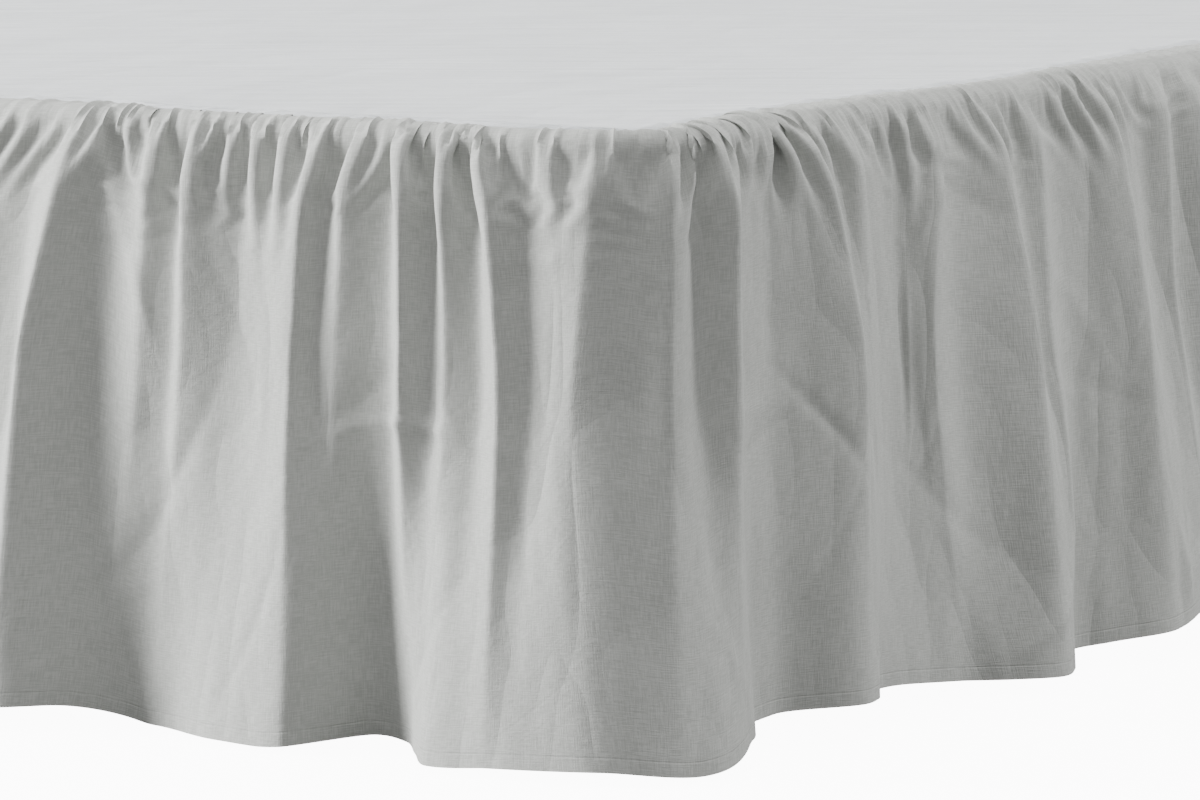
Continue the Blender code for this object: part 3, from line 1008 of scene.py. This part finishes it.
# %% The base's cover
cover, tree, shader = new_material("base cover")
place = add_node(tree, "ShaderNodeTexCoord").outputs["Object"]
weave = add_node(tree, "ShaderNodeTexNoise", Scale=420.0, Detail=3.0, Roughness=0.7)
tone = add_node(tree, "ShaderNodeTexNoise", Scale=6.0, Detail=3.0)
for noise in (weave, tone):
    tree.links.new(place, noise.inputs["Vector"])
mixed = math_node(tree, "ADD", math_node(tree, "MULTIPLY", weave.outputs[0], 0.7),
                  math_node(tree, "MULTIPLY", tone.outputs[0], 0.3))
tint(tree, shader, mixed, (0.60, 0.58, 0.54), (0.78, 0.76, 0.72), low=0.3, high=0.7)
tree.links.new(emboss(tree, weave.outputs[0], 0.5, 0.0008), shader.inputs["Normal"])
shader.inputs["Roughness"].default_value = 0.92
shader.inputs["Specular IOR Level"].default_value = 0.2
print("the cover has", len(tree.nodes), "nodes")

# %% The legs' wood
wood, tree, shader = new_material("leg wood")
place = add_node(tree, "ShaderNodeTexCoord").outputs["Object"]
grain_map = add_node(tree, "ShaderNodeMapping", Scale=(70.0, 70.0, 4.0))
tree.links.new(place, grain_map.inputs["Vector"])
grain = add_node(tree, "ShaderNodeTexNoise", Scale=1.0, Detail=6.0, Roughness=0.65, Distortion=0.6)
tree.links.new(grain_map.outputs[0], grain.inputs["Vector"])
tint(tree, shader, grain.outputs[0], (0.34, 0.20, 0.10), (0.62, 0.43, 0.26), low=0.35, high=0.65)
rough = math_node(tree, "ADD", math_node(tree, "MULTIPLY", grain.outputs[0], 0.25), 0.35)
tree.links.new(rough, shader.inputs["Roughness"])
tree.links.new(emboss(tree, grain.outputs[0], 0.25, 0.0005), shader.inputs["Normal"])

for name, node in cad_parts.items():
    if name == "bed_base" or name.startswith("leg_"):
        finish = cover if name == "bed_base" else wood
        node.data.materials.clear()
        node.data.materials.append(finish)
print("cover and wood on the base and its six legs")

# %% [markdown]
# ## Putting the pieces on the frame
# Each width of cloth stands for the plain solid of the same name, and the new panel for the plain one.
# Their flat sizes are what a maker would cut: a strip as long as its share of the gathers, by the drop.

# %% Ride and replace
for piece, at in zip(skirt, fine_columns):
    piece.data.materials.append(skirt_cotton)
    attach(piece, "root")
    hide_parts(piece.name.replace("skirt", "ruffle"))
panel.data.materials.append(panel_cotton)
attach(panel, "root")
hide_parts("top_panel")
print("panel cut %.2f by %.2f m" % (panel_width, panel_length))

# %% [markdown]
# ## Floor, light and camera
# A very large pale floor and a soft white room keep attention on the cloth. The main light stands low
# on the left and rakes the foot, so that every fold has a lit and a shaded side. A weaker one, to the
# right and a little behind, does the same for the long side, and one overhead lights the panel.

# %% A pale floor
FLOOR_SIZE = 400.0
FLOOR_GLOW = 11.0           # seen by the camera only, so it doesn't light the cloth
bpy.ops.object.select_all(action="DESELECT")
bpy.ops.mesh.primitive_plane_add(size=FLOOR_SIZE)
floor = bpy.context.object
floor.name = "floor"
floor_paint, tree, shader = new_material("floor paint")
shader.inputs["Roughness"].default_value = 0.9
place = add_node(tree, "ShaderNodeTexCoord").outputs["Object"]
mottle = add_node(tree, "ShaderNodeTexNoise", Scale=3.0, Detail=2.0)
tree.links.new(place, mottle.inputs["Vector"])
tint(tree, shader, mottle.outputs[0], (0.22, 0.22, 0.22), (0.25, 0.25, 0.25))
seen = add_node(tree, "ShaderNodeLightPath").outputs["Is Camera Ray"]
tree.links.new(math_node(tree, "MULTIPLY", seen, FLOOR_GLOW), shader.inputs["Emission Strength"])
shader.inputs["Emission Color"].default_value = (1.0, 1.0, 1.0, 1.0)
floor.data.materials.append(floor_paint)
print("floor of %.0f m" % FLOOR_SIZE)

# %% A white room
ROOM_LIGHT = 0.55           # how strongly the room lights the cloth
ROOM_SEEN = 12.0            # and how bright it looks behind it
world = bpy.data.worlds.new("white room")
world.use_nodes = True
bpy.context.scene.world = world
tree = world.node_tree
backdrop = tree.nodes["Background"]
backdrop.inputs["Color"].default_value = (1.0, 1.0, 1.0, 1.0)
seen = add_node(tree, "ShaderNodeLightPath").outputs["Is Camera Ray"]
strength = math_node(tree, "MULTIPLY_ADD", seen, ROOM_SEEN - ROOM_LIGHT)
strength.node.inputs[2].default_value = ROOM_LIGHT
tree.links.new(strength, backdrop.inputs["Strength"])
print("room light %.2f" % ROOM_LIGHT)

# %% Three soft lights
LIGHT_AIM = Vector((0.5, -0.9, 0.3))


def soft_light(name, away, turn, height, size, power):
    """A square light; turn is degrees to the right of straight in front of the foot."""
    turn = np.radians(turn)
    bpy.ops.object.select_all(action="DESELECT")
    bpy.ops.object.light_add(type="AREA")
    light = bpy.context.object
    light.name = name
    light.location = LIGHT_AIM + Vector((away * np.sin(turn), -away * np.cos(turn), height))
    light.rotation_euler = (LIGHT_AIM - light.location).to_track_quat("-Z", "Y").to_euler()
    light.data.size = size
    light.data.energy = power
    light.visible_camera = False
    print(name, "of", power, "watts")


soft_light("main light", 6.0, -64.0, 1.4, 2.2, 1080.0)
soft_light("side light", 6.0, 136.0, 1.4, 0.9, 210.0)
soft_light("top light", 0.6, 180.0, 4.5, 3.0, 205.0)

# %% [markdown]
# The camera stands about ten metres off with a long lens, low and to the right, and looks down on the
# near corner.

# %% The camera
CAMERA_AIM = Vector((0.761, -0.963, 0.314))
CAMERA_AWAY = 9.777
CAMERA_TURN = np.radians(31.0)      # to the right of straight in front of the foot
CAMERA_RISE = np.radians(6.5)       # above level
level = np.cos(CAMERA_RISE)
towards = Vector((level * np.sin(CAMERA_TURN), -level * np.cos(CAMERA_TURN), np.sin(CAMERA_RISE)))
bpy.ops.object.camera_add(location=CAMERA_AIM + CAMERA_AWAY * towards)
camera = bpy.context.object
camera.rotation_euler = towards.to_track_quat("Z", "Y").to_euler()
camera.data.lens = 350.0
camera.data.clip_end = 400.0
bpy.context.scene.camera = camera
print("camera at", [round(float(x), 2) for x in camera.location])
